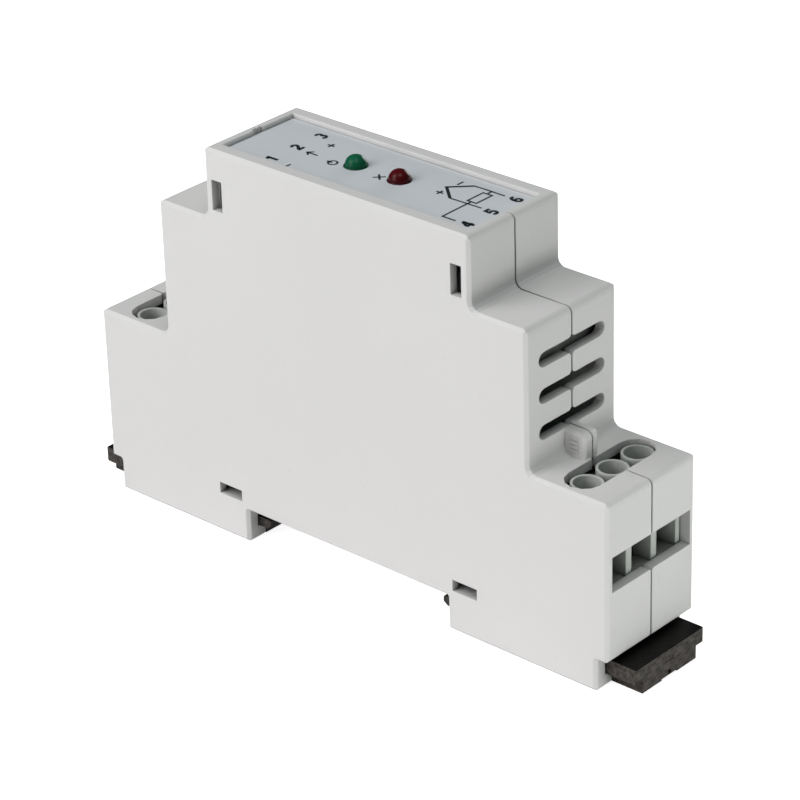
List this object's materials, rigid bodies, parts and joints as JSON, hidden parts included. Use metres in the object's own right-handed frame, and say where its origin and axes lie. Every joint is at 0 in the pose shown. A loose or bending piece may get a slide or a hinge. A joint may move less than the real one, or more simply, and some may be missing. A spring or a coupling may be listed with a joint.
{
  "type": "rail mounted signal conditioner",
  "caption": "Narrow stepped housing for a 35 mm rail with screw terminals at both ends, vents, a recessed label with two lamps and sprung rail clips.",
  "frame": {"origin": "on the standing plane of the feet, under the middle of the housing", "axes": "+X along the length towards terminals 4 to 6, +Y along the rail from the near shell to the far shell, +Z from the feet to the front face"},
  "size_m": [0.094, 0.0176, 0.0577],
  "materials": {
    "housing": "fine eroded texture",
    "label": "satin printed film",
    "terminal_block": "moulded, satin",
    "tinned_brass": "tin plated",
    "clamp_steel": "bright zinc plated",
    "clip": "moulded, satin",
    "spring_steel": "drawn wire",
    "board": "solder mask",
    "lamp_green": "tinted clear epoxy",
    "lamp_red": "tinted clear epoxy",
    "capacitor_sleeve": "shrink sleeve",
    "package": "moulded epoxy",
    "film_capacitor": "moulded case",
    "resistor": "lacquer"
  },
  "bodies": {
    "housing": {"near_shell": "housing", "far_shell": "housing", "front_label": "label", "left_terminal_block": "terminal_block", "right_terminal_block": "terminal_block", "left_contacts": "tinned_brass", "right_contacts": "tinned_brass", "left_clip_spring": "spring_steel", "right_clip_spring": "spring_steel", "circuit_board": "board", "green_lamp": "lamp_green", "red_lamp": "lamp_red", "input_capacitor": "capacitor_sleeve", "output_capacitor": "capacitor_sleeve", "voltage_regulator": "package", "output_transistor": "package", "converter_chip": "package", "amplifier_chip": "package", "film_capacitors": "film_capacitor", "precision_resistors": "resistor", "protection_diodes": "package", "cold_junction_sensor": "package"},
    "left_clip": {"left_rail_clip": "clip"},
    "right_clip": {"right_rail_clip": "clip"},
    "screw_1": {"clamp_screw_1": "clamp_steel"},
    "cage_1": {"clamp_cage_1": "clamp_steel"},
    "screw_2": {"clamp_screw_2": "clamp_steel"},
    "cage_2": {"clamp_cage_2": "clamp_steel"},
    "screw_3": {"clamp_screw_3": "clamp_steel"},
    "cage_3": {"clamp_cage_3": "clamp_steel"},
    "screw_4": {"clamp_screw_4": "clamp_steel"},
    "cage_4": {"clamp_cage_4": "clamp_steel"},
    "screw_5": {"clamp_screw_5": "clamp_steel"},
    "cage_5": {"clamp_cage_5": "clamp_steel"},
    "screw_6": {"clamp_screw_6": "clamp_steel"},
    "cage_6": {"clamp_cage_6": "clamp_steel"}
  },
  "joints": [
    {"name": "left_clip_slide", "type": "slide", "parent": "housing", "child": "left_clip", "axis": [-1, 0, 0], "range_m": [0, 0.0025], "stiffness_N_per_m": 750, "springref_m": -0.001, "deforming": ["left_clip_spring"]},
    {"name": "right_clip_slide", "type": "slide", "parent": "housing", "child": "right_clip", "axis": [1, 0, 0], "range_m": [0, 0.0025], "stiffness_N_per_m": 750, "springref_m": -0.001, "deforming": ["right_clip_spring"]},
    {"name": "screw_1_turn", "type": "hinge", "parent": "housing", "child": "screw_1", "pos_m": [-0.0378, -0.005, 0.0225], "axis": [0, 0, -1], "range_deg": [0, 2160]},
    {"name": "cage_1_rise", "type": "slide", "parent": "housing", "child": "cage_1", "axis": [0, 0, 1], "range_m": [0, 0.0027]},
    {"name": "screw_2_turn", "type": "hinge", "parent": "housing", "child": "screw_2", "pos_m": [-0.0378, 0, 0.0225], "axis": [0, 0, -1], "range_deg": [0, 2160]},
    {"name": "cage_2_rise", "type": "slide", "parent": "housing", "child": "cage_2", "axis": [0, 0, 1], "range_m": [0, 0.0027]},
    {"name": "screw_3_turn", "type": "hinge", "parent": "housing", "child": "screw_3", "pos_m": [-0.0378, 0.005, 0.0225], "axis": [0, 0, -1], "range_deg": [0, 2160]},
    {"name": "cage_3_rise", "type": "slide", "parent": "housing", "child": "cage_3", "axis": [0, 0, 1], "range_m": [0, 0.0027]},
    {"name": "screw_4_turn", "type": "hinge", "parent": "housing", "child": "screw_4", "pos_m": [0.0378, -0.005, 0.0225], "axis": [0, 0, -1], "range_deg": [0, 2160]},
    {"name": "cage_4_rise", "type": "slide", "parent": "housing", "child": "cage_4", "axis": [0, 0, 1], "range_m": [0, 0.0027]},
    {"name": "screw_5_turn", "type": "hinge", "parent": "housing", "child": "screw_5", "pos_m": [0.0378, 0, 0.0225], "axis": [0, 0, -1], "range_deg": [0, 2160]},
    {"name": "cage_5_rise", "type": "slide", "parent": "housing", "child": "cage_5", "axis": [0, 0, 1], "range_m": [0, 0.0027]},
    {"name": "screw_6_turn", "type": "hinge", "parent": "housing", "child": "screw_6", "pos_m": [0.0378, 0.005, 0.0225], "axis": [0, 0, -1], "range_deg": [0, 2160]},
    {"name": "cage_6_rise", "type": "slide", "parent": "housing", "child": "cage_6", "axis": [0, 0, 1], "range_m": [0, 0.0027]}
  ],
  "couplings": [
    {"joint": "screw_1_turn", "follows": "cage_1_rise", "rad_per_m": 13963},
    {"joint": "screw_2_turn", "follows": "cage_2_rise", "rad_per_m": 13963},
    {"joint": "screw_3_turn", "follows": "cage_3_rise", "rad_per_m": 13963},
    {"joint": "screw_4_turn", "follows": "cage_4_rise", "rad_per_m": 13963},
    {"joint": "screw_5_turn", "follows": "cage_5_rise", "rad_per_m": 13963},
    {"joint": "screw_6_turn", "follows": "cage_6_rise", "rad_per_m": 13963}
  ]
}
